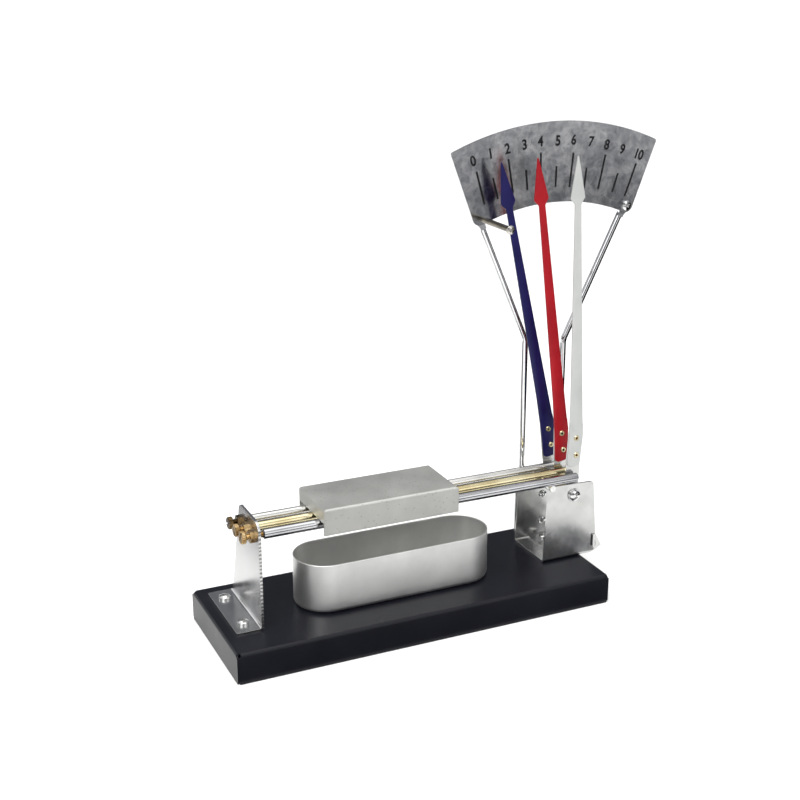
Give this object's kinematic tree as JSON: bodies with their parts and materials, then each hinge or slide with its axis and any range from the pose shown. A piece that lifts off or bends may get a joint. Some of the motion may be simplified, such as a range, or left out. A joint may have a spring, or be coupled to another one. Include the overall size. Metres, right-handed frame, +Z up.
{
  "type": "linear expansion apparatus",
  "caption": "Bench apparatus: metal rods heated over a fuel trough push pivoted pointers across an arched, numbered scale plate.",
  "frame": {"origin": "middle of the base's front lower edge, on the bench", "axes": "+X along the rods, from the adjusting screws to the pointers; +Y away from the user, towards the scale plate; +Z up"},
  "size_m": [0.3175, 0.091, 0.3008],
  "materials": {
    "black_paint": "smooth black stove enamel, slight orange peel",
    "white_paint": "white gloss paint on sheet steel",
    "red_paint": "red gloss paint on sheet steel",
    "blue_paint": "dark blue gloss paint on sheet steel",
    "bright_sheet": "bright zinc-plated sheet steel",
    "galvanised_sheet": "zinc-plated sheet steel with fine scratches",
    "spangled_sheet": "galvanised sheet steel with soft spangle, half mirror",
    "bright_steel": "polished steel",
    "chrome_rod": "polished chrome plate",
    "screw_steel": "bright nickel-plated steel",
    "bronze_pin": "darkened plain steel",
    "aluminium": "dull drawn aluminium",
    "blasted_aluminium": "matt blasted aluminium",
    "brass": "plain turned brass",
    "eyelet_brass": "pale brass eyelets"
  },
  "bodies": {
    "frame": {"base_tray": "black_paint", "left_bracket": "bright_sheet", "left_bracket_screws": "screw_steel", "left_bracket_nuts": "screw_steel", "lock_nuts": "brass", "right_bracket": "galvanised_sheet", "pad_plate": "galvanised_sheet", "right_bracket_screws": "screw_steel", "right_bracket_nuts": "screw_steel", "rest_pin": "bright_steel", "pivot_screw": "screw_steel", "pivot_washers": "galvanised_sheet", "pivot_nut": "screw_steel", "spacer_tubes": "brass", "scale_plate": "spangled_sheet", "stop_pin": "bronze_pin", "scale_screw": "screw_steel", "scale_nuts": "screw_steel", "support_rod_left": "chrome_rod", "support_rod_right": "chrome_rod", "support_clamp": "galvanised_sheet", "clamp_screws": "screw_steel", "clamp_nuts": "screw_steel"},
    "front_rod": {"rod_steel": "bright_steel"},
    "middle_rod": {"rod_brass": "brass"},
    "rear_rod": {"rod_aluminium": "aluminium"},
    "front_screw": {"thumb_screw_front": "brass"},
    "middle_screw": {"thumb_screw_middle": "brass"},
    "rear_screw": {"thumb_screw_rear": "brass"},
    "white_pointer": {"hub_white": "brass", "carrier_white": "galvanised_sheet", "pointer_white": "white_paint", "eyelets_white": "eyelet_brass"},
    "red_pointer": {"hub_red": "brass", "carrier_red": "galvanised_sheet", "pointer_red": "red_paint", "eyelets_red": "eyelet_brass"},
    "blue_pointer": {"hub_blue": "brass", "carrier_blue": "galvanised_sheet", "pointer_blue": "blue_paint", "eyelets_blue": "eyelet_brass"},
    "hood": {"heat_hood": "blasted_aluminium"},
    "trough": {"fuel_trough": "aluminium"}
  },
  "joints": [
    {"name": "front_rod_slide", "type": "slide", "parent": "frame", "child": "front_rod", "axis": [1, 0, 0], "range_m": [-0.00289, 0.0024]},
    {"name": "white_pointer_hinge", "type": "hinge", "parent": "frame", "child": "white_pointer", "pos_m": [0.1168, 0.0364, 0.0642], "axis": [0, 1, 0], "range_deg": [-13.66, 11.38]},
    {"name": "front_screw_turn", "type": "hinge", "parent": "front_rod", "child": "front_screw", "pos_m": [-0.1077, 0.0321, 0.0766], "axis": [1, 0, 0], "range_deg": [-1491.3, 1239.3]},
    {"name": "middle_rod_slide", "type": "slide", "parent": "frame", "child": "middle_rod", "axis": [1, 0, 0], "range_m": [-0.00171, 0.0024]},
    {"name": "red_pointer_hinge", "type": "hinge", "parent": "frame", "child": "red_pointer", "pos_m": [0.1168, 0.0482, 0.0642], "axis": [0, 1, 0], "range_deg": [-8.19, 11.41]},
    {"name": "middle_screw_turn", "type": "hinge", "parent": "middle_rod", "child": "middle_screw", "pos_m": [-0.1077, 0.0439, 0.0766], "axis": [1, 0, 0], "range_deg": [-884.4, 1239.3]},
    {"name": "rear_rod_slide", "type": "slide", "parent": "frame", "child": "rear_rod", "axis": [1, 0, 0], "range_m": [-0.00066, 0.0024]},
    {"name": "blue_pointer_hinge", "type": "hinge", "parent": "frame", "child": "blue_pointer", "pos_m": [0.1168, 0.06, 0.0642], "axis": [0, 1, 0], "range_deg": [-3.3, 11.46]},
    {"name": "rear_screw_turn", "type": "hinge", "parent": "rear_rod", "child": "rear_screw", "pos_m": [-0.1077, 0.0557, 0.0766], "axis": [1, 0, 0], "range_deg": [-344.4, 1239.3]},
    {"name": "hood_lift", "type": "slide", "parent": "frame", "child": "hood", "axis": [0, 0, 1], "range_m": [0, 0.04]},
    {"name": "trough_draw", "type": "slide", "parent": "frame", "child": "trough", "axis": [0, -1, 0], "range_m": [0, 0.06]}
  ],
  "couplings": [
    {"joint": "white_pointer_hinge", "follows": "front_rod_slide", "rad_per_m": 81.3},
    {"joint": "front_screw_turn", "follows": "front_rod_slide", "rad_per_m": 8976},
    {"joint": "red_pointer_hinge", "follows": "middle_rod_slide", "rad_per_m": 81.5},
    {"joint": "middle_screw_turn", "follows": "middle_rod_slide", "rad_per_m": 8976},
    {"joint": "blue_pointer_hinge", "follows": "rear_rod_slide", "rad_per_m": 81.9},
    {"joint": "rear_screw_turn", "follows": "rear_rod_slide", "rad_per_m": 8976}
  ]
}
